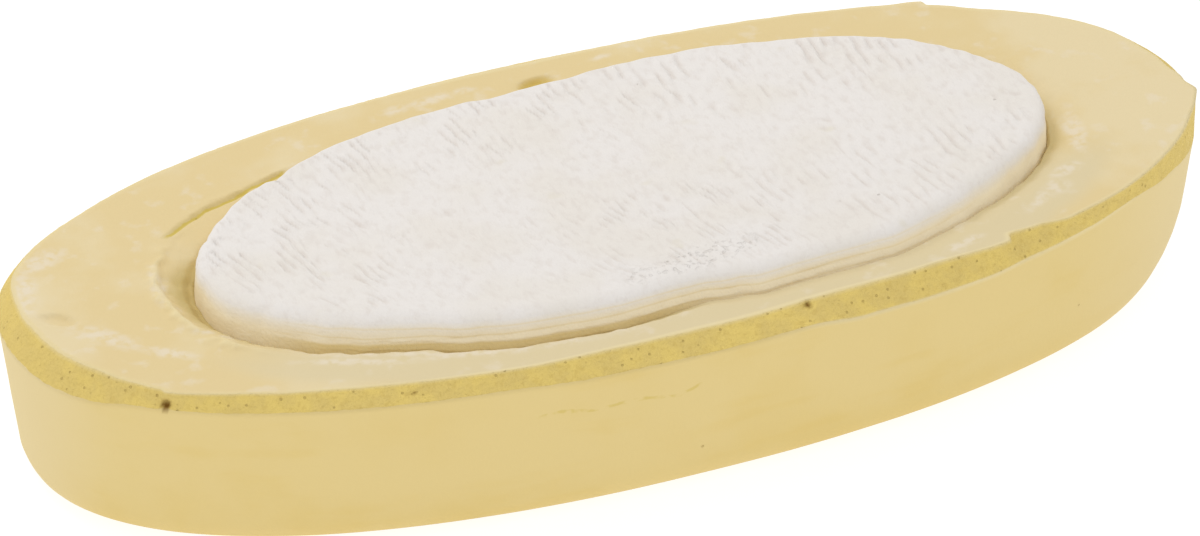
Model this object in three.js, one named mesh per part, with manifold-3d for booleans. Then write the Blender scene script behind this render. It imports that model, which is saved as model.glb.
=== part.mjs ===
// A cuttlebone set in an oval cast mineral block, as hung in a bird cage for pecking.
// Millimetres, +Z up, origin at the centre of the block's flat back, +X along its length.
// The block is a stack of oval rings turned into one closed skin. The bone is a loft along X
// whose rings are its own growth lines.
import * as THREE from "three";
import { mergeVertices } from "three/addons/utils/BufferGeometryUtils.js";
import Module from "manifold-3d";

const wasm = await Module();
wasm.setup();

// The block
const BLOCK_LENGTH = 152;
const BLOCK_WIDTH = 67;
const BLOCK_HEIGHT = 22;
const OVAL_POWER = 2.2; // 2 is a true ellipse, more is fuller at the shoulders
const SIDE_DRAFT = 1.7; // how far the side leans in from the rim to the foot
const FOOT_ROUND = 3.8;
const RIM_TRIM_IN = 2.4; // the rough band trimmed off the top edge
const RIM_SHARP_IN = 0.4; // the same where the edge was left sharp, from the front round the +X tip
const RIM_TRIM_DROP = 2;
const RIM_END_LIFT = 0.5; // the poured top creeps up at both ends
const POUR_WAVE = 0.25; // unevenness of the poured top

// The bone
const BONE_LENGTH = 108;
const BONE_WIDTH = 49.8;
const BONE_CENTRE = new THREE.Vector2(1.7, -1.9);
const BONE_PROUD = 2.5; // its top above the block's top
const BONE_SUNK = 2.5; // its widest line below the block's top
const BONE_KEEL = 7; // from the widest line down to the keel
const BONE_SHOULDER_POWER = 80; // more makes a sharper edge round its flat top
const GROWTH_PITCH = 1.6;
const GROWTH_HEIGHT = 0.42;
const GROWTH_ARCH = 2.4; // how far a growth line bows towards -X at the middle
const EDGE_NOTCH = 0.35; // depth of the notches between growth lines along the +Y edge

// The seat of the bone in the block, and the trough where the poured mix draws down beside the bone
const SEAT_GAP = 0.4;
const MOAT_WIDTH = 2;
const MOAT_END_WIDTH = 4.5;
const MOAT_DEPTH = 0.6;
const MOAT_MINUS_X_DEPTH = 1.8;
const MOAT_PLUS_X_DEPTH = 1.1;
const MOAT_LIP = 0.4; // mix pushed up outside the trough at the -X end

// A crack outside the trough, a dent in the strip behind the bone and the largest air holes
const CRACK_RADIUS = 0.6;
const CRACK_PATH = [
  [-51.9, 10.7],
  [-49.6, 12.5],
  [-46.3, 14.7],
  [-42.2, 15.7],
  [-38.4, 17.3],
];
const DENT = { length: 5, width: 2, depth: 0.8, x: 0.8, y: 26 };
const AIR_HOLES = [
  { turn: -0.965, up: 0.2, radius: 0.8 },
  { turn: -0.4, up: 0.3, radius: 0.6 },
  { turn: 0.13, up: 0.7, radius: 0.7 },
];

// How finely each skin is divided
const RING_SIDES = 80;
const FOOT_STEPS = 3;
const SEAT_STEPS = 7;
const BONE_SIDES = 20;
const BONE_TOP_SHARE = 0.65; // of those sides, how many cross the top
const BONE_TIP = 0.995; // the outermost rings stop just short of the two points

const halfBlock = { length: BLOCK_LENGTH / 2, width: BLOCK_WIDTH / 2 };
const halfBone = { length: BONE_LENGTH / 2, width: BONE_WIDTH / 2 };
const boneEdgeLevel = BLOCK_HEIGHT - BONE_SUNK;
const boneTopRise = BONE_PROUD + BONE_SUNK;
const blockCentre = new THREE.Vector2(0, 0);

const { lerp, smoothstep, euclideanModulo } = THREE.MathUtils;
const signedPower = (value, power) => Math.sign(value) * Math.abs(value) ** power;

// A point on an oval, turned from -Y towards +X.
function ovalPoint(turn, half, offset, centre, height) {
  return new THREE.Vector3(
    centre.x + (half.length + offset) * signedPower(Math.sin(turn), 2 / OVAL_POWER),
    centre.y - (half.width + offset) * signedPower(Math.cos(turn), 2 / OVAL_POWER),
    height,
  );
}

const blockOval = (turn, inset, height) => ovalPoint(turn, halfBlock, -inset, blockCentre, height);
const boneOval = (turn, outset, height) => ovalPoint(turn, halfBone, outset, BONE_CENTRE, height);

// 0 at the middle of the bone's oval, 1 on its outline.
function boneReach(x, y) {
  const along = Math.abs(x / halfBone.length) ** OVAL_POWER;
  const across = Math.abs(y / halfBone.width) ** OVAL_POWER;
  return Math.min(1, (along + across) ** (1 / OVAL_POWER));
}

// The bone's rubbed-down top is flat up to its edge, and its underside is a shallow keel.
const boneTop = (reach) => boneEdgeLevel + boneTopRise * Math.sqrt(1 - reach ** BONE_SHOULDER_POWER);
const boneKeel = (reach) => boneEdgeLevel - BONE_KEEL * (1 - reach ** 2.5) ** 0.6;

// 1 at an end of the block, 0 along its flanks.
const plusEnd = (turn) => Math.max(0, Math.sin(turn)) ** 6;
const minusEnd = (turn) => Math.max(0, -Math.sin(turn)) ** 6;
const bothEnds = (turn) => plusEnd(turn) + minusEnd(turn);

// 1 where the top edge was left sharp. It starts with a step in the front edge.
function sharpEdge(turn) {
  const pastStep = smoothstep(Math.sin(turn), 0.5, 0.58);
  const beforeBack = smoothstep(Math.cos(turn), -0.35, 0);
  return pastStep * beforeBack;
}

const rimInset = (turn) => lerp(RIM_TRIM_IN, RIM_SHARP_IN, sharpEdge(turn));
const moatWidth = (turn) => lerp(MOAT_WIDTH, MOAT_END_WIDTH, bothEnds(turn));

function moatDepth(turn) {
  const endDepth = Math.sin(turn) < 0 ? MOAT_MINUS_X_DEPTH : MOAT_PLUS_X_DEPTH;
  return lerp(MOAT_DEPTH, endDepth, bothEnds(turn));
}

// The two edges of the trimmed band.
const rimHeight = (turn) => BLOCK_HEIGHT + RIM_END_LIFT * bothEnds(turn);
const bandFoot = (turn) => blockOval(turn, 0, rimHeight(turn) - RIM_TRIM_DROP);
const rim = (turn) => blockOval(turn, rimInset(turn), rimHeight(turn));

// The rings of the block, from the middle of its back, up the side and down into the bone's seat.
function blockRings() {
  const rings = [() => new THREE.Vector3(0, 0, 0)];
  for (let step = 0; step <= FOOT_STEPS; step++) {
    const bend = ((Math.PI / 2) * step) / FOOT_STEPS;
    const inset = SIDE_DRAFT + FOOT_ROUND * (1 - Math.sin(bend));
    const height = FOOT_ROUND * (1 - Math.cos(bend));
    rings.push((turn) => blockOval(turn, inset, height));
  }

  const lip = (turn) => boneOval(turn, moatWidth(turn), BLOCK_HEIGHT + MOAT_LIP * minusEnd(turn));
  const pourWave = (turn) => POUR_WAVE * Math.sin(5 * turn + 1) * Math.sin(8 * turn);
  rings.push(bandFoot);
  rings.push(rim);
  rings.push((turn) => rim(turn).lerp(lip(turn), 0.5).setZ(BLOCK_HEIGHT + pourWave(turn)));
  rings.push(lip);
  rings.push((turn) => boneOval(turn, moatWidth(turn) / 2, BLOCK_HEIGHT - 0.8 * moatDepth(turn)));
  rings.push((turn) => boneOval(turn, SEAT_GAP, BLOCK_HEIGHT - moatDepth(turn)));

  for (let step = 0; step <= SEAT_STEPS; step++) {
    const reach = step < SEAT_STEPS ? Math.cos(((Math.PI / 2) * step) / SEAT_STEPS) : 0;
    const height = boneKeel(reach) - SEAT_GAP;
    const middle = new THREE.Vector3(BONE_CENTRE.x, BONE_CENTRE.y, height);
    rings.push((turn) => middle.clone().lerp(boneOval(turn, SEAT_GAP, height), reach));
  }
  return rings;
}

function blockSkin() {
  const rings = blockRings();
  const lastRing = rings.length - 1;
  const profile = rings.map((_, ring) => {
    const radius = ring === 0 || ring === lastRing ? 0 : 1;
    return new THREE.Vector2(radius, ring);
  });
  const geometry = new THREE.LatheGeometry(profile, RING_SIDES);
  const position = geometry.getAttribute("position");
  for (let vertex = 0; vertex < position.count; vertex++) {
    const side = Math.floor(vertex / rings.length) % RING_SIDES;
    const place = rings[vertex % rings.length]((2 * Math.PI * side) / RING_SIDES);
    position.setXYZ(vertex, place.x, place.y, place.z);
  }
  return geometry;
}

function solidOf(geometry) {
  const bare = new THREE.BufferGeometry();
  bare.setAttribute("position", geometry.getAttribute("position"));
  bare.setIndex(geometry.index);
  const merged = mergeVertices(bare, 1e-4);
  const mesh = new wasm.Mesh({
    numProp: 3,
    vertProperties: merged.getAttribute("position").array,
    triVerts: new Uint32Array(merged.index.array),
  });
  return new wasm.Manifold(mesh);
}

function geometryOf(solid) {
  const mesh = solid.getMesh();
  const geometry = new THREE.BufferGeometry();
  geometry.setAttribute("position", new THREE.BufferAttribute(mesh.vertProperties, 3));
  geometry.setIndex(new THREE.BufferAttribute(mesh.triVerts, 1));
  geometry.computeVertexNormals();
  return geometry;
}

// The crack is a run of round-ended grooves along its path.
function crackCuts() {
  const places = CRACK_PATH.map(([x, y]) => new THREE.Vector3(x, y, BLOCK_HEIGHT));
  return places.slice(1).map((end, index) => {
    const start = places[index];
    const run = end.clone().sub(start);
    const groove = new THREE.CapsuleGeometry(CRACK_RADIUS, run.length(), 3, 8);
    const turned = new THREE.Quaternion().setFromUnitVectors(new THREE.Vector3(0, 1, 0), run.normalize());
    groove.applyQuaternion(turned);
    const middle = start.clone().lerp(end, 0.5);
    return solidOf(groove.translate(middle.x, middle.y, middle.z));
  });
}

function dentCut() {
  const dent = new THREE.SphereGeometry(1, 14, 8);
  dent.scale(DENT.length / 2, DENT.width / 2, DENT.depth);
  return solidOf(dent.translate(DENT.x, DENT.y, BLOCK_HEIGHT));
}

// The air holes sit in the trimmed band.
function airHoleCuts() {
  return AIR_HOLES.map((hole) => {
    const bubble = new THREE.SphereGeometry(hole.radius, 8, 6);
    const place = bandFoot(hole.turn).lerp(rim(hole.turn), hole.up);
    return solidOf(bubble.translate(place.x, place.y, place.z));
  });
}

function blockGeometry() {
  const cuts = wasm.Manifold.union([...crackCuts(), dentCut(), ...airHoleCuts()]);
  return geometryOf(solidOf(blockSkin()).subtract(cuts));
}

const growthBow = (y) => GROWTH_ARCH * (y / halfBone.width) ** 2;

// Where the growth line that crosses the middle at x meets the bone's outline.
function growthHalfWidth(x) {
  let width = 0;
  for (let pass = 0; pass < 6; pass++) {
    const reached = Math.abs((x + growthBow(width)) / halfBone.length);
    width = halfBone.width * Math.max(0, 1 - reached ** OVAL_POWER) ** (1 / OVAL_POWER);
  }
  return width;
}

// Every second growth line stands up: boldest near both flanks, worn along the middle and at the edge.
const standsUp = (line) => line % 2 === 1;

function growthHeight(line, across, reach) {
  if (!standsUp(line)) return 0;
  const flank = 0.3 + 0.7 * Math.abs(across);
  const broken = 0.7 + 0.3 * Math.sin(line * 1.7 + across * 5);
  return GROWTH_HEIGHT * flank * broken * (1 - reach ** 12);
}

function boneGeometry() {
  const lines = Math.round(BONE_LENGTH / (GROWTH_PITCH / 2));
  const geometry = new THREE.CylinderGeometry(1, 1, lines, BONE_SIDES, lines);
  const position = geometry.getAttribute("position");
  for (let vertex = 0; vertex < position.count; vertex++) {
    const line = Math.round(position.getY(vertex) + lines / 2);
    const middle = halfBone.length * BONE_TIP * ((2 * line) / lines - 1);
    const isCapCentre = Math.hypot(position.getX(vertex), position.getZ(vertex)) < 0.5;
    const turn = Math.atan2(position.getX(vertex), position.getZ(vertex)) / (2 * Math.PI);
    const share = euclideanModulo(turn + BONE_TOP_SHARE / 2, 1);
    const onTop = share <= BONE_TOP_SHARE;
    const sweep = onTop ? share / BONE_TOP_SHARE : (1 - share) / (1 - BONE_TOP_SHARE);
    const across = isCapCentre ? 0 : Math.cos(Math.PI * sweep);
    const notch = onTop && !standsUp(line) ? EDGE_NOTCH * Math.max(0, across) ** 8 : 0;
    const y = across * growthHalfWidth(middle) - notch;
    const x = middle + growthBow(y);
    const reach = boneReach(x, y);
    const top = boneTop(reach) + growthHeight(line, across, reach);
    const keel = boneKeel(reach);
    let height = onTop ? top : keel;
    if (isCapCentre) height = (top + keel) / 2;
    position.setXYZ(vertex, BONE_CENTRE.x + x, BONE_CENTRE.y + y, height);
  }
  geometry.computeVertexNormals();
  return geometry;
}

function namedMesh(name, geometry, color, roughness) {
  const material = new THREE.MeshStandardMaterial({ color, roughness, metalness: 0 });
  const mesh = new THREE.Mesh(geometry, material);
  mesh.name = name;
  return mesh;
}

const cuttleboneInBlock = new THREE.Group();
cuttleboneInBlock.add(namedMesh("mineral_block", blockGeometry(), 0xe1ca8e, 0.85));
cuttleboneInBlock.add(namedMesh("cuttlebone", boneGeometry(), 0xe9e3dc, 0.9));

export default cuttleboneInBlock;
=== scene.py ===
import math

import bmesh
import bpy
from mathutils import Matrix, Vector, noise


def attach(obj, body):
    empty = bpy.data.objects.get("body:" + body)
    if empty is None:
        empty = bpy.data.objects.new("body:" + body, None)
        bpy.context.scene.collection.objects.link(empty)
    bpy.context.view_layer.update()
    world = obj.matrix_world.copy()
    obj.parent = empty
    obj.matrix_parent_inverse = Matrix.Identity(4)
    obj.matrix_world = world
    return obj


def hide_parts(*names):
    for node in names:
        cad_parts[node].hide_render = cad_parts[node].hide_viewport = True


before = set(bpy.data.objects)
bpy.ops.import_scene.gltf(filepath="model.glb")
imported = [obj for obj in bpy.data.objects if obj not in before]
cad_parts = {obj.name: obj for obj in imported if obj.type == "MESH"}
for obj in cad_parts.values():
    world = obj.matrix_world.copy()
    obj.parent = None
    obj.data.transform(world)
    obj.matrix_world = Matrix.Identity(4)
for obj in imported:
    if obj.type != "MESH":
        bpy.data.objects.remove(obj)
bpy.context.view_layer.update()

# The mineral block is a hand-sized oval loaf of chalky yellow mineral mix, poured round the bone
# in an open mould. It keeps the smooth skin of the cast on its top and side, and a rough darker
# band where the top edge was trimmed. The mix drew down into a trough beside the bone.
MM = 0.001
BLOCK_HALF_LENGTH = 76.0
BLOCK_HALF_WIDTH = 33.5
BLOCK_TOP = 22.0
OVAL_POWER = 2.2
SIDE_DRAFT = 1.7
SIDE_FULL_HEIGHT = 19.6
FOOT_ROUND = 3.8
END_LIFT = 0.45
BONE_MIDDLE = (1.7, -1.9)
BONE_HALF_LENGTH = 54.0
BONE_HALF_WIDTH = 24.9
BONE_EDGE_LEVEL = 19.5
BONE_KEEL_DEPTH = 7.0
BONE_CHIPS = 0.22
SEAT_GAP = 0.08
SEAT_DROP = 0.4
SCUFFED_FOOT_HEIGHT = 9.0
CRACK_DEPTH = 0.2

# How far the trimmed edge stands in from the outline, and the height of the band's lower edge.
# Angles run in degrees from the front towards +X.
RIM_INSET = (
    (-105, 1.7), (-93, 2.5), (-85, 3.0), (-70, 2.7), (-62, 2.0), (-57, 1.5), (-55.5, 0.9),
    (-44, 1.7), (-32, 2.1), (-16, 2.0), (-8, 2.5), (0, 2.6), (10, 3.1), (20, 2.7), (29.5, 1.6),
    (30.8, 2.9), (34, 2.2), (38, 0.8), (47, 0.4), (60, 0.6), (70, 0.7), (76, 0.3), (79, 0.0),
    (83, 1.2), (90, 2.3), (97, 2.8), (128, 2.6), (136.5, 1.8), (137.6, 0.9), (142, 1.6), (150, 2.1),
    (165, 2.7), (180, 3.0), (225, 2.6),
)
BAND_FOOT = (
    (-105, 19.8), (-85, 19.7), (-78, 19.4), (-67, 19.4), (-60, 20.2), (-50, 20.3), (-30, 20.4),
    (-19, 20.5), (-10, 20.1), (0, 20.2), (7, 20.4), (12, 19.6), (26, 19.1), (31, 19.5),
    (40, 19.7), (47, 20.2), (57, 19.2), (65, 18.3), (72, 17.5), (80, 17.8), (90, 20.0), (180, 20.0),
    (240, 19.8),
)

# How far the bone's edge strays from a true oval, and the trough beside it: its width, its depth,
# how much of that depth is a steep outer wall, and the narrow gutter right against the bone.
# Angles run in degrees round the bone from +X towards +Y.
BONE_EDGE = (
    (0, -0.1), (8, 0.0), (20, -0.5), (33, -0.1), (39, 0.4), (50, 0.8), (60, 0.6), (70, 0.65),
    (75, 0.3),
    (81, -0.1), (90, -0.9), (95, -1.1), (99.5, -1.5), (103, -0.8), (114, -0.65), (123, -0.65),
    (128, -0.8),
    (132, -1.0), (135, -1.6), (136, -1.7), (138, -1.0), (145, -0.85), (152, -1.0), (160, -0.8),
    (166, 0.0),
    (174, 0.6), (181, 0.9), (188, 1.0), (197, 0.9), (203, 0.35), (213, 0.3), (220, -0.05),
    (228, -0.5),
    (233, -0.5), (239, -0.1), (245, 0.15), (250, 0.0), (255, -0.25), (260, -0.45), (264, -0.95),
    (269, -1.2), (274, -0.6), (277, 0.0), (282, -0.2), (288, 0.0), (293, 0.4), (296, 0.65),
    (304, 0.1),
    (313, -0.5), (325, -0.55), (342, -0.4),
)
TROUGH_WIDTH = (
    (0, 5.0), (12, 4.3), (40, 2.6), (90, 1.6), (120, 1.8), (128, 2.1), (134, 2.9), (142, 4.2),
    (152, 4.9),
    (163, 5.0), (171, 4.6), (181, 4.0), (192, 3.6), (203, 3.8), (214, 3.0), (228, 2.2), (240, 1.9),
    (262, 1.7), (275, 2.2), (300, 2.6), (318, 3.0), (327, 3.4), (335, 4.1), (348, 4.8),
)
TROUGH_DEPTH = (
    (0, 0.6), (40, 0.4), (90, 0.3), (120, 0.2), (130, 0.12), (150, 0.15), (160, 0.6), (172, 1.3),
    (185, 1.3),
    (197, 1.0), (212, 0.7), (225, 0.5), (250, 0.4), (262, 0.4), (275, 0.3), (300, 0.3), (320, 0.5),
    (340, 0.6),
)
TROUGH_WALL = (
    (0, 0.0), (60, 0.1), (120, 0.5), (130, 0.9), (152, 0.9), (158, 0.3), (180, 0.25), (200, 0.15),
    (222, 0.0),
)
GUTTER_DEPTH = (
    (0, 0.1), (90, 0.2), (150, 0.1), (168, 0.5), (190, 0.9), (205, 1.0), (225, 0.8), (250, 0.8),
    (262, 0.55),
    (272, 0.1), (300, 0.0), (320, 0.2), (340, 0.2),
)

# The crack along the trough's outer wall, a hair crack in the front side as x and height, a dent
# behind the bone and a nail mark at the -X end (x, y, half length, half width, heading, depth), and
# the largest air holes (x, y, height, radius).
CRACK = ((-51.9, 10.9), (-49.6, 12.5), (-46.5, 14.4), (-42.1, 15.8), (-38.0, 17.6), (-35.6, 18.4))
SIDE_CRACK = ((-22.4, 15.7), (-20.0, 16.0), (-15.8, 15.3), (-10.3, 15.6), (-5.3, 14.8), (-3.2, 15.6))
DENT = (0.6, 25.3, 2.7, 1.8, 12, 0.8)
DIMPLE = (-69.9, -1.2, 2.4, 1.1, -40, 0.45)
AIR_HOLES = ((-63.2, -19.7, 20.6, 0.75), (-36.7, -28.9, 20.9, 0.5), (11.7, -30.6, 21.3, 0.65))

# Pale smears of loose chalk on the top: x, y, half length, half width and heading. One more was drawn
# along the front of the bone, at this distance from it.
DRAWN_LINE = 2.0
SMEARS = (
    (-72.0, 5.5, 5.5, 1.6, 75), (-68.0, 11.2, 3.0, 1.4, 30), (-66.0, -6.5, 4.0, 1.4, -45),
    (-55.0, -9.3, 1.2, 0.8, -30), (-60.0, -12.2, 3.0, 0.8, -35), (-41.0, -22.0, 6.0, 0.6, -22),
    (-29.0, -25.2, 6.0, 0.6, -12), (51.8, -17.0, 2.2, 0.9, 20), (46.2, -21.8, 2.2, 0.7, 40),
    (49.5, -20.0, 1.6, 1.3, 30), (34.0, -26.6, 3.0, 0.7, 15), (57.0, -9.5, 4.5, 1.2, 75),
    (-17.6, 26.5, 1.8, 0.8, 10), (-12.6, 27.0, 2.6, 0.8, 8), (-8.4, 27.4, 1.4, 0.6, 0),
    (10.2, 28.2, 1.2, 0.6, 0), (-57.0, 1.0, 3.5, 0.7, 80),
)

BLOCK_TURNS = 840
BLOCK_ZONES = (("foot", 8), ("side", 24), ("band", 12), ("top", 50), ("seat", 6))
TOP_CROWDING = 0.55


def ease(low, high, value):
    """0 up to low, 1 from high on, and a smooth change between them."""
    share = min(1.0, max(0.0, (value - low) / (high - low)))
    return share * share * (3 - 2 * share)


def between(start, end, share):
    return start + (end - start) * share


def around(stations, angle):
    """The value at an angle, eased between the stations that are given all the way round."""
    first, first_value = stations[0]
    angle = (angle - first) % 360 + first
    for (start, low), (end, high) in zip(stations, (*stations[1:], (first + 360, first_value))):
        if angle <= end:
            return between(low, high, ease(start, end, angle))
    return first_value


def arc(angle, *ends):
    """1 along a stretch round the bone, with two angles for each eased end."""
    angle %= 360
    return ease(ends[0], ends[1], angle) * (1 - ease(ends[2], ends[3], angle))


def grain(x, y, z, size, layer=0):
    """Lumpiness of a given size in millimetres, from -1 to 1."""
    return noise.noise(
        Vector((x / size + 17.3 * layer, y / size - 9.1 * layer, z / size + 5.7 * layer))
    )


def oval(turn, half_length, half_width):
    """A point on an oval outline, turned from the front towards +X."""
    along, across = math.sin(turn), -math.cos(turn)
    power = 2 / OVAL_POWER
    return (
        half_length * math.copysign(abs(along) ** power, along),
        half_width * math.copysign(abs(across) ** power, across),
    )


def bone_reach(x, y):
    """0 at the middle of the bone's oval and 1 on its outline."""
    along = abs((x - BONE_MIDDLE[0]) / BONE_HALF_LENGTH) ** OVAL_POWER
    across = abs((y - BONE_MIDDLE[1]) / BONE_HALF_WIDTH) ** OVAL_POWER
    return (along + across) ** (1 / OVAL_POWER)


def bone_angle(x, y):
    """Degrees round the bone, from +X towards +Y."""
    across = (y - BONE_MIDDLE[1]) / BONE_HALF_WIDTH
    return math.degrees(math.atan2(across, (x - BONE_MIDDLE[0]) / BONE_HALF_LENGTH))


def bone_facing(x, y):
    """The way the bone's wall faces, and how quickly its reach grows that way."""
    step = 0.01
    slope_x = (bone_reach(x + step, y) - bone_reach(x - step, y)) / (2 * step)
    slope_y = (bone_reach(x, y + step) - bone_reach(x, y - step)) / (2 * step)
    slope = Vector((slope_x, slope_y, 0))
    return slope.normalized(), slope.length


def bone_stray(angle):
    """How far the bone's edge lies outside its oval, with small chips all round."""
    turn = math.radians(angle)
    return around(BONE_EDGE, angle) + BONE_CHIPS * grain(math.cos(turn), math.sin(turn), 0, 0.05, 5)


def bone_clearance(x, y):
    """Millimetres from the bone's edge, outwards."""
    slope = bone_facing(x, y)[1]
    return (bone_reach(x, y) - 1) / slope - bone_stray(bone_angle(x, y))


def keel_level(reach):
    """The height of the bone's hidden underside."""
    return BONE_EDGE_LEVEL - BONE_KEEL_DEPTH * max(0.0, 1 - reach**2.5) ** 0.6


def in_patch(x, y, patch_x, patch_y, half_length, half_width, heading):
    """0 at the middle of a turned oval patch and 1 on its edge."""
    turn = math.radians(heading)
    east, north = x - patch_x, y - patch_y
    along = east * math.cos(turn) + north * math.sin(turn)
    across = north * math.cos(turn) - east * math.sin(turn)
    return math.hypot(along / half_length, across / half_width)


def path_offset(x, y, path):
    """Millimetres to the nearest stretch of a path, and how far off to its left."""
    nearest = (math.inf, 0.0)
    for (start_x, start_y), (end_x, end_y) in zip(path, path[1:]):
        run = Vector((end_x - start_x, end_y - start_y))
        off = Vector((x - start_x, y - start_y))
        share = min(1.0, max(0.0, off.dot(run) / run.length_squared))
        nearest = min(nearest, ((off - run * share).length, run.normalized().cross(off)))
    return nearest


def trough(x, y):
    """How deep the trough beside the bone is here, and how far the mix is pushed up outside it."""
    clearance = bone_clearance(x, y)
    angle = bone_angle(x, y)
    wall = around(TROUGH_WALL, angle)
    lumps = grain(x, y, 0, 2.4, 3) + 0.6 * grain(x, y, 0, 1.1, 4)
    width = around(TROUGH_WIDTH, angle) * (1 + 0.14 * lumps)
    out = clearance / width
    fall = wall * (1 - ease(0.8, 1.0, out)) + (1 - wall) * (1 - ease(0.1, 1.0, out))
    crumbly = wall * 0.2 + arc(angle, 154, 166, 204, 216)
    lip = crumbly * math.exp(-(((clearance - width) / 0.75) ** 2)) * (0.45 + 0.5 * lumps)
    depth = around(TROUGH_DEPTH, angle) * (1 + 0.1 * lumps) * fall
    gutter = around(GUTTER_DEPTH, angle) * (1 - ease(0.3, 1.5 + 0.3 * lumps, clearance))
    return depth + gutter, lip


def top_height(x, y):
    """The poured top: nearly level, lifted a little at both ends and drawn down beside the bone."""
    level = BLOCK_TOP + END_LIFT * min(1.0, abs(x) / BLOCK_HALF_LENGTH) ** 5
    level += 0.10 * grain(x, y, 0, 15, 1) + 0.04 * grain(x, y, 0, 4, 2)
    fall, lip = trough(x, y)
    for *patch, depth in (DENT, DIMPLE):
        level -= depth * (1 - ease(0.65, 1.0, in_patch(x, y, *patch)))
    if -54 < x < -33 and y > 8:
        level -= CRACK_DEPTH * (1 - ease(0.1, 0.6, path_offset(x, y, CRACK)[0]))
    return level - fall + lip


def smear_share(x, y):
    """1 where chalk is smeared on the top."""
    ragged = 0.4 * grain(x, y, 0, 1.7, 6) + 0.25 * grain(x, y, 0, 0.7, 7)
    nearest = min(in_patch(x, y, *smear) for smear in SMEARS)
    return 1 - ease(0.4, 1.6, nearest + ragged)


def outward(x, y):
    """The way the block's side faces."""
    along = math.copysign((abs(x) / BLOCK_HALF_LENGTH) ** (OVAL_POWER - 1) / BLOCK_HALF_LENGTH, x)
    across = math.copysign((abs(y) / BLOCK_HALF_WIDTH) ** (OVAL_POWER - 1) / BLOCK_HALF_WIDTH, y)
    return Vector((along, across, 0)).normalized()


def block_side_point(turn, inset, height):
    x, y = oval(turn, BLOCK_HALF_LENGTH - inset, BLOCK_HALF_WIDTH - inset)
    return Vector((x, y, height))


def rim_point(turn):
    inset = around(RIM_INSET, math.degrees(turn))
    x, y = oval(turn, BLOCK_HALF_LENGTH - inset, BLOCK_HALF_WIDTH - inset)
    return Vector((x, y, top_height(x, y)))


def side_inset(height):
    """How far the drafted side stands in from the outline at a height."""
    return SIDE_DRAFT * (SIDE_FULL_HEIGHT - height) / (SIDE_FULL_HEIGHT - FOOT_ROUND)


def foot_shape(angle):
    """How high the rounded foot reaches and how full it is. It is scuffed flat at the +X end."""
    scuffed = ease(45, 75, angle) * (1 - ease(100, 140, angle))
    return between(FOOT_ROUND, SCUFFED_FOOT_HEIGHT, scuffed), between(1.0, 0.6, scuffed)


def roughened(place, turn, zone, share):
    """The side's gentle waves, the band's crumbly face, the burr under it and the air holes."""
    x, y, z = place
    swell = 0.14 * grain(x, y, z, 13, 8) + 0.04 * grain(x, y, z, 3.5, 9)
    facing = outward(x, y)
    if zone == "band":
        crumble = math.sin(math.pi * min(1.0, share * 1.15)) ** 0.5 if share < 0.87 else 0.35
        swell += crumble * (0.10 * grain(x, y, z, 1.3, 10) + 0.06 * grain(x, y, z, 0.6, 11))
        facing = (facing + Vector((0, 0, 0.7 * share))).normalized()
    burr = around(BAND_FOOT, math.degrees(turn)) - z
    if zone in ("side", "band"):
        ragged = ease(-0.1, 0.35, grain(x, y, 0, 9, 12))
        swell += 0.08 * ragged * math.exp(-((burr / 0.3) ** 2))
    for hole_x, hole_y, hole_z, radius in AIR_HOLES:
        off = math.dist((x, y, z), (hole_x, hole_y, hole_z)) / radius
        swell -= 1.1 * radius * math.exp(-(off**3))
    return place + facing * swell


def block_point(zone, share, turn):
    """Where a point of the spun disc lies on the block."""
    if zone == "back":
        return block_side_point(turn, SIDE_DRAFT + FOOT_ROUND, 0.0) * share
    foot_height, foot_power = foot_shape(math.degrees(turn))
    if zone == "foot":
        bend = share * math.pi / 2
        run = SIDE_DRAFT + FOOT_ROUND - side_inset(foot_height)
        inset = side_inset(foot_height) + run * (1 - math.sin(bend)) ** foot_power
        place = block_side_point(turn, inset, foot_height * (1 - math.cos(bend)))
        rough = roughened(place, turn, zone, share)
        return Vector((*place.lerp(rough, share).xy, place.z))
    if zone == "side":
        height = between(foot_height, around(BAND_FOOT, math.degrees(turn)), share)
        return roughened(block_side_point(turn, side_inset(height), height), turn, zone, share)
    if zone == "band":
        band_height = around(BAND_FOOT, math.degrees(turn))
        band_foot = block_side_point(turn, side_inset(band_height), band_height)
        return roughened(band_foot.lerp(rim_point(turn), share), turn, zone, share)
    mouth_x, mouth_y = oval(turn, BONE_HALF_LENGTH, BONE_HALF_WIDTH)
    mouth = Vector((BONE_MIDDLE[0] + mouth_x, BONE_MIDDLE[1] + mouth_y, 0))
    stray = bone_stray(bone_angle(*mouth.xy)) + SEAT_GAP
    mouth += bone_facing(*mouth.xy)[0] * stray
    if zone == "top":
        crowded = share + TOP_CROWDING * math.sin(math.pi * share) / math.pi
        x, y = rim_point(turn).lerp(mouth, crowded).xy
        return Vector((x, y, top_height(x, y)))
    reach = math.cos(share * math.pi / 2)
    middle = Vector((*BONE_MIDDLE, 0))
    return middle.lerp(mouth, reach) + Vector((0, 0, keel_level(reach) - SEAT_DROP))


block_stations = [("back", 0.0), ("back", 1.0)]
for zone, count in BLOCK_ZONES:
    block_stations += [(zone, (step + 1) / count) for step in range(count)]

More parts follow.
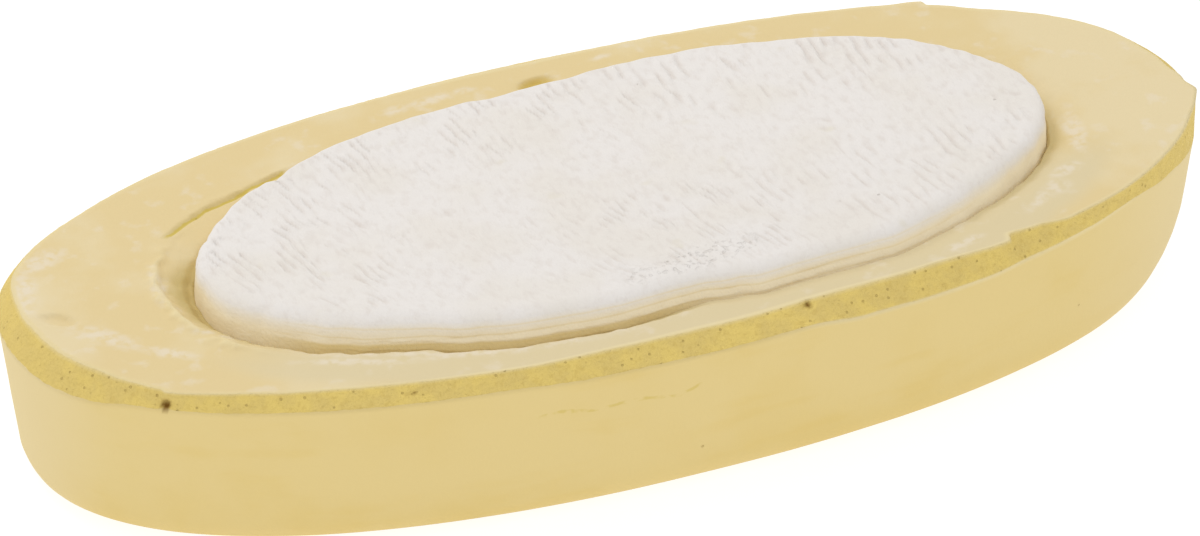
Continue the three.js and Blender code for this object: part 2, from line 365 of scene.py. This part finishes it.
block_mesh = bmesh.new()
band_layer = block_mesh.verts.layers.float.new("band")
skin_layer = block_mesh.verts.layers.float.new("skin")
smear_layer = block_mesh.verts.layers.float.new("smear")
hollow_shade_layer = block_mesh.verts.layers.float.new("hollow_shade")
hole_shade_layer = block_mesh.verts.layers.float.new("hole")
rim_wear_and_highlight_layer = block_mesh.verts.layers.float.new("rim_wear_and_highlight")
end_layer = block_mesh.verts.layers.float.new("end")
crack_layer = block_mesh.verts.layers.float.new("crack")
hair_layer = block_mesh.verts.layers.float.new("hair_crack")
beside_layer = block_mesh.verts.layers.float.new("beside_crack")
dent_layer = block_mesh.verts.layers.float.new("dent")
dust_layer = block_mesh.verts.layers.float.new("dust")
row = [block_mesh.verts.new((ring, 0, 0)) for ring in range(len(block_stations))]
for inner, outer in zip(row, row[1:]):
    block_mesh.edges.new((inner, outer))
bmesh.ops.spin(
    block_mesh,
    geom=[*block_mesh.verts, *block_mesh.edges],
    axis=(0, 0, 1),
    angle=2 * math.pi,
    steps=BLOCK_TURNS,
    use_merge=True,
)
for vert in block_mesh.verts:
    turn = math.atan2(vert.co.x, -vert.co.y)
    zone, share = block_stations[round(vert.co.xy.length)]
    place = block_point(zone, share, turn)
    x, y, z = place
    vert.co = place * MM
    vert[band_layer] = 1.0 if zone == "band" and share < 0.999 else 0.0
    vert[end_layer] = max(ease(67, 76, -x), ease(45, 70, x))
    # Painted shade inside the largest air holes.
    vert[hole_shade_layer] = max(
        1 - ease(0.45, 1.0, math.dist(place, hole[:3]) / hole[3]) for hole in AIR_HOLES
    )
    # Edge wear and painted highlight along the trimmed rim, the burr under the band and the trough's
    # lip.
    if zone == "band":
        vert[rim_wear_and_highlight_layer] = ease(0.85, 1.0, share)
    if zone == "side" and share > 0.97:
        vert[rim_wear_and_highlight_layer] = ease(2, 10, math.degrees(turn)) * (1 - ease(40, 55, math.degrees(turn)))
    if zone == "side" and y < 0:
        off, side = path_offset(x, z, SIDE_CRACK)
        vert[hair_layer] = 1 - ease(0.1, 1.2, off - abs(side))
        vert[beside_layer] = side
    if zone == "top":
        fall, lip = trough(x, y)
        vert[skin_layer] = 1.0
        clearance, angle = bone_clearance(x, y), bone_angle(x, y)
        drawn = math.exp(-(((clearance - DRAWN_LINE) / 0.6) ** 2)) * (0.7 + grain(x, y, 0, 2.0, 13))
        vert[smear_layer] = max(smear_share(x, y), drawn * arc(angle, 210, 224, 252, 272))
        # Painted shade: the trough is marked for a darker, yellower colour the deeper it falls.
        vert[hollow_shade_layer] = ease(0.25, 1.2, fall)
        on_rim = 1 - ease(0.25, 0.75, math.dist((x, y), rim_point(turn).xy))
        vert[rim_wear_and_highlight_layer] = max(on_rim, ease(0.1, 0.5, lip))
        vert[dent_layer] = 1 - ease(0.7, 1.0, in_patch(x, y, *DENT[:-1]))
        off, side = path_offset(x, y, CRACK)
        vert[crack_layer] = 1 - ease(0.1, 1.2, off - abs(side))
        vert[beside_layer] = side
        vert[dust_layer] = arc(angle, 200, 224, 325, 345) * (1 - ease(6, 9, clearance))
bmesh.ops.remove_doubles(block_mesh, verts=block_mesh.verts, dist=1e-6)
bmesh.ops.recalc_face_normals(block_mesh, faces=block_mesh.faces)
for face in block_mesh.faces:
    face.smooth = True

block = bpy.data.objects.new("cast_block", bpy.data.meshes.new("cast_block"))
block_mesh.to_mesh(block.data)
block_mesh.free()
bpy.context.scene.collection.objects.link(block)


def tint(red, green, blue):
    """A colour as it looks on a screen, 0 to 255, as the light it stands for."""
    def light(level):
        level /= 255
        return level / 12.92 if level <= 0.04045 else ((level + 0.055) / 1.055) ** 2.4
    return (light(red), light(green), light(blue), 1.0)


class Tone:
    """A number or colour on its way through a material's nodes."""

    def __init__(self, tree, socket=None):
        self.tree = tree
        self.socket = socket

    def node(self, kind, settings, inputs, output=0):
        made = self.tree.nodes.new("ShaderNode" + kind)
        for name, value in settings.items():
            setattr(made, name, value)
        for name, value in inputs.items():
            if isinstance(value, Tone):
                self.tree.links.new(value.socket, made.inputs[name])
            else:
                made.inputs[name].default_value = value
        return Tone(self.tree, made.outputs[output])

    def math(self, operation, first, second):
        return self.node("Math", {"operation": operation}, {0: first, 1: second})

    def __add__(self, other):
        return self.math("ADD", self, other)

    def __sub__(self, other):
        return self.math("SUBTRACT", self, other)

    def __rsub__(self, other):
        return self.math("SUBTRACT", other, self)

    def __mul__(self, other):
        return self.math("MULTIPLY", self, other)

    __radd__ = __add__
    __rmul__ = __mul__

    def rising(self, low, high):
        """0 where this is under low, 1 where it is over high."""
        settings = {"interpolation_type": "SMOOTHSTEP"}
        return self.node("MapRange", settings, {"Value": self, "From Min": low, "From Max": high})

    def mixed(self, first, second):
        """From the first colour to the second as this goes from 0 to 1."""
        return self.node("Mix", {"data_type": "RGBA"}, {0: self, 6: first, 7: second}, 2)

    def painted(self, layer):
        """A layer laid on the mesh as it was made."""
        return self.node("Attribute", {"attribute_name": layer}, {}, "Fac")

    def stretched(self, along, across, up):
        """Places measured in millimetres, each axis divided by a length."""
        where = self.node("TexCoord", {}, {}, "Object")
        scale = (1 / (along * MM), 1 / (across * MM), 1 / (up * MM))
        return self.node("VectorMath", {"operation": "MULTIPLY"}, {0: where, 1: scale})

    def lumps(self, along, across=None, up=None, detail=2.0, shift=0.0):
        """Soft noise, 0 to 1, with lumps of these lengths in millimetres."""
        where = self.stretched(along, across or along, up or across or along)
        where = self.node("VectorMath", {"operation": "ADD"}, {0: where, 1: (shift, -shift, shift)})
        return self.node("TexNoise", {}, {"Vector": where, "Scale": 1.0, "Detail": detail})

    def specks(self, spacing, radius, shift=0.0):
        """1 inside small round specks scattered at a spacing in millimetres."""
        where = self.stretched(spacing, spacing, spacing)
        where = self.node("VectorMath", {"operation": "ADD"}, {0: where, 1: (shift, -shift, shift)})
        distance = self.node("TexVoronoi", {}, {"Vector": where, "Scale": 1.0}, "Distance")
        return 1 - distance.rising(0.5 * radius / spacing, radius / spacing)


def new_material(name):
    material = bpy.data.materials.new(name)
    material.use_nodes = True
    shader = material.node_tree.nodes["Principled BSDF"]
    return material, shader, Tone(material.node_tree)


SKIN = tint(226, 204, 152)
SKIN_PALE = tint(229, 211, 168)
SIDE_PALE = tint(225, 202, 139)
SIDE_WARM = tint(222, 196, 124)
SIDE_ENDS = tint(227, 207, 156)
BAND_YELLOW = tint(231, 204, 116)
BAND_DULL = tint(222, 196, 116)
BAND_DARK = tint(203, 174, 92)
CHALK = tint(232, 220, 198)
RIM_WEAR_AND_HIGHLIGHT = tint(234, 217, 170)
# The darker yellow painted as shade in the trough and beside the crack.
HOLLOW_SHADE_YELLOW = tint(200, 179, 118)
CRACK_YELLOW_AND_SHADE = tint(206, 182, 84)
DENT_YELLOW = tint(217, 190, 98)
DUST_BEIGE = tint(221, 205, 165)
HOLE_SHADE_BROWN = tint(120, 84, 22)
PIT_SHADE_BROWN = tint(176, 147, 76)

block_material, shader, paint = new_material("cast_mineral_mix")
band = (paint.painted("band") + paint.lumps(1.1, detail=3, shift=3.0) * 1.2 - 0.6).rising(0.3, 0.6)
skin = paint.painted("skin")
height = paint.node("SeparateXYZ", {}, {"Vector": paint.stretched(1, 1, 1)}, "Z")
broad = paint.lumps(12, detail=3)
streaks = paint.lumps(12, 12, 2.6, detail=3, shift=4.0)
low_down = 1 - height.rising(1.0, 9)
side_warmth = (broad.rising(0.4, 0.7) * 0.4 + streaks.rising(0.5, 0.75) * 0.3) + low_down * 0.45
side_colour = side_warmth.rising(-0.1, 1.1).mixed(SIDE_PALE, SIDE_WARM)
side_colour = (paint.painted("end") * 0.9).mixed(side_colour, SIDE_ENDS)
skin_share = paint.lumps(10, detail=4, shift=2.0) + paint.painted("end") * 0.25
skin_colour = skin_share.rising(0.45, 0.75).mixed(SKIN, SKIN_PALE)
band_colour = paint.lumps(2.5, detail=4, shift=6.0).rising(0.35, 0.65).mixed(BAND_YELLOW, BAND_DULL)
crumb_gaps = paint.lumps(0.7, detail=2, shift=5.0).rising(0.5, 0.72)
band_colour = (crumb_gaps * 0.35).mixed(band_colour, BAND_DARK)
band_colour = (paint.painted("end") * 0.6).mixed(band_colour, BAND_DULL)
colour = skin.mixed(side_colour, skin_colour)
colour = (paint.painted("dust") * 0.9).mixed(colour, DUST_BEIGE)
# Painted shade in the trough beside the bone.
colour = (paint.painted("hollow_shade") * 0.9).mixed(colour, HOLLOW_SHADE_YELLOW)
colour = band.mixed(colour, band_colour)
ragged = paint.lumps(1.1, detail=4, shift=7.0).rising(0.3, 0.6)
colour = (paint.painted("smear") * ragged * 0.7).mixed(colour, CHALK)
flecks = paint.lumps(3.0, detail=5, shift=12.0).rising(0.57, 0.72) * skin
colour = (flecks * 0.4).mixed(colour, CHALK)
# Edge wear and painted highlight on the raised edges.
colour = (paint.painted("rim_wear_and_highlight") * 0.7).mixed(colour, RIM_WEAR_AND_HIGHLIGHT)
beside = paint.painted("beside_crack") + paint.lumps(1.4, detail=2, shift=9.0) * 0.6 - 0.3
crack = paint.painted("crack")
shade = beside.rising(-0.25, 0.1) * (1 - beside.rising(0.3, 1.0))
# Painted shade on the high side of the crack, in the trough's shade colour.
colour = (shade * crack * 0.55).mixed(colour, HOLLOW_SHADE_YELLOW)
# The crack line is the mix's saturated yellow with painted shade on its wall; the hair crack in the
# side gets the same colour.
split = beside.rising(-0.35, -0.1) * (1 - beside.rising(0.1, 0.35))
broken = paint.lumps(1.5, detail=2, shift=11.0).rising(0.42, 0.6) * paint.painted("hair_crack")
colour = (split * (crack * 0.9 + broken * 0.5)).mixed(colour, CRACK_YELLOW_AND_SHADE)
colour = (paint.painted("dent") * 0.85).mixed(colour, DENT_YELLOW)
# Painted shade in the small pits, which the bump below also sinks.
pits = paint.specks(1.3, 0.2) * band
rare_pits = paint.specks(7.5, 0.22, shift=3.0)
colour = (pits * 0.5 + rare_pits * 0.5).mixed(colour, PIT_SHADE_BROWN)
# Painted shade: the air holes are filled with dark brown.
colour = paint.painted("hole").mixed(colour, HOLE_SHADE_BROWN)
paint.tree.links.new(colour.socket, shader.inputs["Base Color"])
crumbs = (paint.lumps(0.45, detail=3, shift=1.0) - 0.5) * (band * 1.2 + 0.15)
crumbs = crumbs - pits * 0.5 - rare_pits * 0.4
relief = paint.node("Bump", {}, {"Strength": 0.8, "Distance": 0.3 * MM, "Height": crumbs})
paint.tree.links.new(relief.socket, shader.inputs["Normal"])
shader.inputs["Roughness"].default_value = 0.8
shader.inputs["Specular IOR Level"].default_value = 0.25
block.data.materials.append(block_material)
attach(block, "root")
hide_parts("mineral_block")

# The cuttlebone is the chalky inner shell of a cuttlefish, white and rubbed flat on top, with
# worn growth ridges across it. The block was poured round it, so its lower half is out of sight
# and its thin layers show only along the front wall.
BONE_TOP_RISE = 5.0
BONE_TIP = 0.9985
BONE_LINES = 440
BONE_ROWS = 130
GROWTH_PITCH = 1.2
GROWTH_HEIGHT = 0.34
GROWTH_BOW_FRONT = 5.0
GROWTH_BOW_BACK = 0.8
WALL_LEAN = 0.35
FRONT_LEAN = 0.7
WALL_RINGS = 20
SHOULDER_RINGS = 4
KEEL_RINGS = (0.96, 0.85, 0.6, 0.25)
GROWTH_TILT = 0.2
SCRATCH_HEIGHT = 0.08
LAYER_PITCH = 0.95
LAYER_STEP = 0.08
PITTED_PATCH = (2.0, -20.8, 11.0, 2.8, 6)

# How round the edge of the top is worn, in millimetres, by degrees round the bone.
SHOULDER = (
    (0, 0.8), (30, 0.6), (90, 0.5), (150, 0.6), (172, 1.2), (190, 2.4), (215, 2.6), (240, 2.2),
    (265, 2.0),
    (300, 2.0), (318, 2.2), (335, 1.6),
)

half_width_of = {}


def growth_bow(across):
    """How far a growth line has bent towards +X this far from the middle."""
    bow = GROWTH_BOW_FRONT if across < 0 else GROWTH_BOW_BACK
    return bow * (across / BONE_HALF_WIDTH) ** 2


def growth_half_width(middle, side):
    """Where the growth line that crosses the bone's middle here meets its outline, front or back."""
    if (middle, side) not in half_width_of:
        width = 0.0
        for _ in range(14):
            reached = abs((middle + growth_bow(side * width)) / BONE_HALF_LENGTH) ** OVAL_POWER
            width = BONE_HALF_WIDTH * max(0.0, 1 - reached) ** (1 / OVAL_POWER)
        half_width_of[middle, side] = width
    return half_width_of[middle, side]


def growth_relief(along, across):
    """Short broken ridges along the growth lines, bold by the back edge and in the front third."""
    line = along - growth_bow(across)
    line += GROWTH_TILT * across * (1 - ease(-5, 25, along))
    line += 0.7 * grain(along, across, 0, 6, 20) + 0.3 * grain(along, across, 0, 2.2, 21)
    share = across / BONE_HALF_WIDTH
    back = ease(0.15, 0.7, share)
    front = ease(-0.9, -0.65, share) * (1 - ease(-0.3, 0.0, share)) * ease(-20, 0, along)
    left = ease(26, 40, -along) * (1 - ease(-0.45, -0.75, share))
    bold = 0.14 + 0.86 * max(back, front, left) + 0.5 * back * ease(5, 25, along)
    patches = grain(along, across * 0.7, 0, 2.1, 22) + 0.4 * grain(along, across, 0, 7, 28)
    broken = ease(-0.2, 0.4, patches)
    wider = 0.25 * max(0.0, line - 10)
    rise = ((line - wider) / GROWTH_PITCH) % 1.0
    ridge = ease(0.0, 0.75, rise) * (1 - ease(0.75, 1.0, rise)) - 0.4
    scratch = noise.noise(Vector((line / 0.8, across / 1.7, 8.0)))
    return (
        GROWTH_HEIGHT * bold * broken * ridge
        + SCRATCH_HEIGHT * scratch
        + 0.06 * grain(along, across, 0, 1.5, 23)
    )


def wall_lean(angle):
    """How far the wall leans outwards on its way down, most of all in front."""
    return WALL_LEAN + FRONT_LEAN * arc(angle, 180, 215, 320, 350)


def top_of_bone(x, y):
    """The rubbed top, nearly flat, with its ridges worn away towards the edge."""
    inside = -bone_clearance(x, y)
    along, across = x - BONE_MIDDLE[0], y - BONE_MIDDLE[1]
    level = BONE_EDGE_LEVEL + BONE_TOP_RISE + 0.18 * grain(along, across, 0, 19, 24)
    angle = bone_angle(x, y)
    inset = around(SHOULDER, angle) + wall_lean(angle)
    return level + growth_relief(along, across) * ease(inset, inset + 1.1, inside)


def wall_place(start, angle, facing, ring):
    """The ring-th step from the flat top over the worn shoulder and down the wall."""
    radius = around(SHOULDER, angle)
    if ring <= SHOULDER_RINGS:
        bend = ring / SHOULDER_RINGS * math.pi / 2
        out, drop = radius * math.sin(bend), radius * (1 - math.cos(bend))
    else:
        share = (ring - SHOULDER_RINGS) / WALL_RINGS
        out, drop = radius + wall_lean(angle) * share, between(radius, BONE_TOP_RISE, share)
        front = arc(angle, 205, 222, 285, 305)
        layer = (drop + 0.3 * grain(start.x, 0, 0, 17, 27)) / LAYER_PITCH
        out += front * LAYER_STEP * (layer % 1.0 - 0.5)
        out += 0.12 * grain(start.x, start.y, drop, 2.2, 25)
    return start + facing * out - Vector((0, 0, drop)), drop


bone_mesh = bmesh.new()
wall_layer = bone_mesh.verts.layers.float.new("wall")
layered_layer = bone_mesh.verts.layers.float.new("layers")
pitted_layer = bone_mesh.verts.layers.float.new("pitted")
seated_layer = bone_mesh.verts.layers.float.new("seated")
hollow_shade_layer = bone_mesh.verts.layers.float.new("hollow_shade")
bmesh.ops.create_grid(bone_mesh, x_segments=BONE_LINES, y_segments=BONE_ROWS, size=1)
for vert in bone_mesh.verts:
    middle = BONE_HALF_LENGTH * BONE_TIP * round(vert.co.x, 6)
    across = vert.co.y * growth_half_width(middle, math.copysign(1, vert.co.y))
    x, y = middle + growth_bow(across) + BONE_MIDDLE[0], across + BONE_MIDDLE[1]
    angle = bone_angle(x, y)
    inset = around(SHOULDER, angle) + wall_lean(angle) - bone_stray(angle)
    x, y = (Vector((x, y, 0)) - bone_facing(x, y)[0] * inset * bone_reach(x, y) ** 4).xy
    vert.co = Vector((x, y, top_of_bone(x, y))) * MM
    # Painted shade: the hollows between the growth ridges are marked for a darker grey.
    vert[hollow_shade_layer] = ease(0.0, 0.12, -growth_relief(x - BONE_MIDDLE[0], y - BONE_MIDDLE[1]))
    vert[pitted_layer] = 1 - ease(0.4, 1.1, in_patch(x, y, *PITTED_PATCH) + 0.3 * grain(x, y, 0, 3, 29))

rim_edges = [edge for edge in bone_mesh.edges if edge.is_boundary]
rim_of = {vert: vert.co / MM for edge in rim_edges for vert in edge.verts}
for ring in range(1, SHOULDER_RINGS + WALL_RINGS + len(KEEL_RINGS) + 1):
    grown = bmesh.ops.extrude_edge_only(bone_mesh, edges=rim_edges)["geom"]
    rim_edges = [part for part in grown if isinstance(part, bmesh.types.BMEdge) and part.is_boundary]
    next_rim = {}
    for vert in {vert for edge in rim_edges for vert in edge.verts}:
        start = rim_of[min(
            (edge.other_vert(vert) for edge in vert.link_edges if edge.other_vert(vert) in rim_of),
            key=lambda neighbour: (neighbour.co - vert.co).length,
        )]
        next_rim[vert] = start
    for vert, start in next_rim.items():
        angle, facing = bone_angle(*start.xy), bone_facing(*start.xy)[0]
        if ring <= SHOULDER_RINGS + WALL_RINGS:
            place, drop = wall_place(start, angle, facing, ring)
            vert[wall_layer] = ease(0.5, 2.3, drop)
            vert[seated_layer] = arc(angle, 196, 214, 262, 276) * ease(2.8, 3.2, drop)
            vert[pitted_layer] = vert[hollow_shade_layer] = 0.0
            vert[layered_layer] = arc(angle, 200, 215, 290, 325) * ease(0.6, 1.1, drop)
        else:
            reach = KEEL_RINGS[ring - SHOULDER_RINGS - WALL_RINGS - 1]
            middle = Vector((*BONE_MIDDLE, 0))
            place = middle.lerp(Vector((*start.xy, 0)), reach) + Vector((0, 0, keel_level(reach)))
        vert.co = place * MM
    rim_of = next_rim
bmesh.ops.contextual_create(bone_mesh, geom=rim_edges)
bmesh.ops.recalc_face_normals(bone_mesh, faces=bone_mesh.faces)
for face in bone_mesh.faces:
    face.smooth = True

bone = bpy.data.objects.new("rubbed_cuttlebone", bpy.data.meshes.new("rubbed_cuttlebone"))
bone_mesh.to_mesh(bone.data)
bone_mesh.free()
bpy.context.scene.collection.objects.link(bone)

BONE_WHITE = tint(234, 229, 224)
BONE_WARM = tint(232, 226, 218)
BONE_CREAM = tint(247, 234, 204)
LAYER_YELLOW = tint(231, 211, 160)
SEAT_YELLOW = tint(226, 203, 142)
BONE_SHADE_AND_MOTTLE = tint(220, 211, 203)
BONE_STAIN = tint(224, 216, 196)
BONE_PIT_SHADE = tint(186, 178, 168)

bone_material, shader, paint = new_material("cuttlebone_chalk")
wall = paint.painted("wall")
level = paint.node("SeparateXYZ", {}, {"Vector": paint.stretched(1, 1, 1)}, "Z")
colour = paint.lumps(12, detail=3).rising(0.4, 0.65).mixed(BONE_WHITE, BONE_WARM)
stains = paint.lumps(5, detail=2, shift=5.0).rising(0.68, 0.8)
colour = (stains * 0.5).mixed(colour, BONE_STAIN)
mottle = paint.lumps(0.8, 1.6, 0.8, detail=4, shift=3.0).rising(0.48, 0.7)
# Painted shade in the hollows between the ridges, with random mottle mixed towards the same grey.
colour = (paint.painted("hollow_shade") * 0.55 + mottle * 0.3).mixed(colour, BONE_SHADE_AND_MOTTLE)
colour = wall.mixed(colour, BONE_CREAM)
wander = paint.lumps(16, 16, 3, detail=1, shift=8.0) * 0.9
sheets = paint.node("Math", {"operation": "FRACT"}, {0: (level + wander) * (1 / LAYER_PITCH)})
sheet_lines = (1 - sheets.rising(0.0, 0.22)) + sheets.rising(0.85, 1.0)
colour = (paint.painted("layers") * sheet_lines * 0.45).mixed(colour, LAYER_YELLOW)
colour = (paint.painted("seated") * 0.85).mixed(colour, SEAT_YELLOW)
specks = paint.specks(6.0, 0.24, shift=2.0)
pitted = paint.painted("pitted")
pores = paint.lumps(0.7, detail=2, shift=6.0).rising(0.52, 0.66) * pitted
# Painted shade in the specks and pores, which the bump below also sinks.
colour = (specks * 0.6 + pores * 0.2).mixed(colour, BONE_PIT_SHADE)
paint.tree.links.new(colour.socket, shader.inputs["Base Color"])
chalk = paint.lumps(0.35, 1.2, 0.35, detail=3) * 0.8 - specks * 0.6 - pores * 0.9
relief = paint.node("Bump", {}, {"Strength": 0.7, "Distance": 0.16 * MM, "Height": chalk})
paint.tree.links.new(relief.socket, shader.inputs["Normal"])
shader.inputs["Roughness"].default_value = 0.85
shader.inputs["Specular IOR Level"].default_value = 0.2
bone.data.materials.append(bone_material)
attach(bone, "root")
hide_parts("cuttlebone")

# The floor is a plain white studio sheet, wide enough to fill every view.
FLOOR_HALF = 3.0
floor_mesh = bmesh.new()
bmesh.ops.create_grid(floor_mesh, x_segments=1, y_segments=1, size=FLOOR_HALF)
floor = bpy.data.objects.new("studio_floor", bpy.data.meshes.new("studio_floor"))
floor_mesh.to_mesh(floor.data)
floor_mesh.free()
bpy.context.scene.collection.objects.link(floor)
floor_material, shader, paint = new_material("white_sheet")
shader.inputs["Base Color"].default_value = (0.3, 0.3, 0.3, 1.0)
shader.inputs["Roughness"].default_value = 0.9
shader.inputs["Specular IOR Level"].default_value = 0.0
shader.inputs["Emission Color"].default_value = (1.0, 1.0, 1.0, 1.0)
shader.inputs["Emission Strength"].default_value = 0.82
floor.data.materials.append(floor_material)

# The light is a bright white room with one large soft lamp above and behind the -X end.
ROOM_LIGHT = 0.865
LAMP_PLACE = (-0.18, 0.45, 0.6)
LAMP_SIZE = 0.4
LAMP_POWER = 1.2
room = bpy.data.worlds.new("white_room")
room.use_nodes = True
room.node_tree.nodes["Background"].inputs["Color"].default_value = (1.0, 1.0, 1.0, 1.0)
room.node_tree.nodes["Background"].inputs["Strength"].default_value = ROOM_LIGHT
bpy.context.scene.world = room
lamp = bpy.data.objects.new("soft_lamp", bpy.data.lights.new("soft_lamp", "AREA"))
lamp.data.size = LAMP_SIZE
lamp.data.energy = LAMP_POWER
lamp.location = LAMP_PLACE
lamp.rotation_euler = (-Vector(LAMP_PLACE)).to_track_quat("-Z", "Y").to_euler()
bpy.context.scene.collection.objects.link(lamp)
bpy.context.scene.view_settings.view_transform = "Standard"

# The camera stands to the front and the -X side, well above the block, with a long lens.
CAMERA_TURN = -22.66
CAMERA_RISE = 34.0
CAMERA_DISTANCE = 0.7
CAMERA_TARGET = (-0.00207, -0.00127, 0.012)
CAMERA_LENS = 174.66
CAMERA_SENSOR = 36.0
turn, rise = math.radians(CAMERA_TURN), math.radians(CAMERA_RISE)
back = Vector(
    (math.sin(turn) * math.cos(rise), -math.cos(turn) * math.cos(rise), math.sin(rise))
)
camera = bpy.data.objects.new("camera", bpy.data.cameras.new("camera"))
camera.data.sensor_width = CAMERA_SENSOR
camera.data.lens = CAMERA_LENS
camera.location = Vector(CAMERA_TARGET) + back * CAMERA_DISTANCE
camera.rotation_euler = (-back).to_track_quat("-Z", "Y").to_euler()
bpy.context.scene.collection.objects.link(camera)
bpy.context.scene.camera = camera
